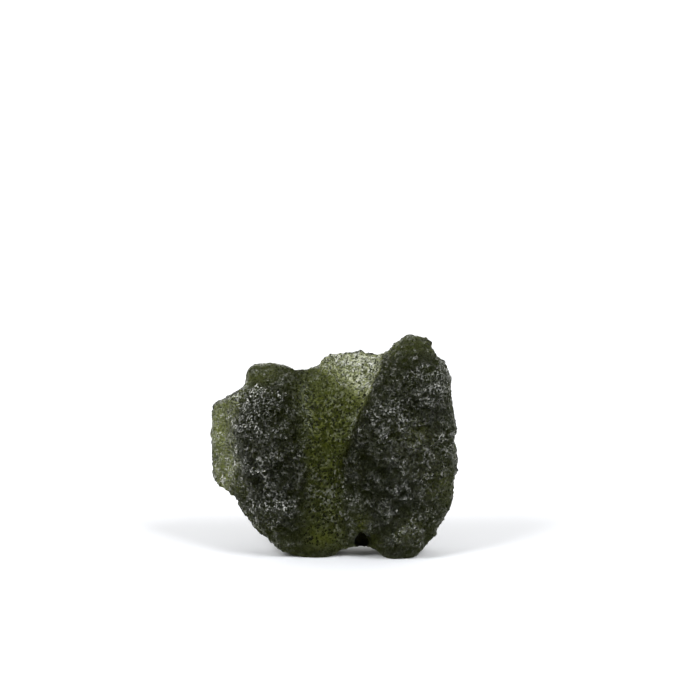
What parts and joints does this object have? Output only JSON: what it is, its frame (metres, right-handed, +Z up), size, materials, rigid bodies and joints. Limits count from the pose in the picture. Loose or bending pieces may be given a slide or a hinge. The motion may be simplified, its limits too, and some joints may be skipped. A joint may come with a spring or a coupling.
{
  "type": "moldavite",
  "caption": "Raw natural impact glass, bottle green and see-through, with a deep valley between two etched lobes, standing on small worn flats.",
  "frame": {"origin": "bottom centre of the bounding box, on the plane of the two worn flats that the stone stands on", "axes": "+Z up, +X along the stone's width with the tall lobe at its +X end, and -Y out of the side with the valley"},
  "size_m": [0.0302, 0.0116, 0.0269],
  "materials": {
    "moldavite_glass": "satin"
  },
  "bodies": {
    "root": {"moldavite": "moldavite_glass"}
  },
  "joints": []
}
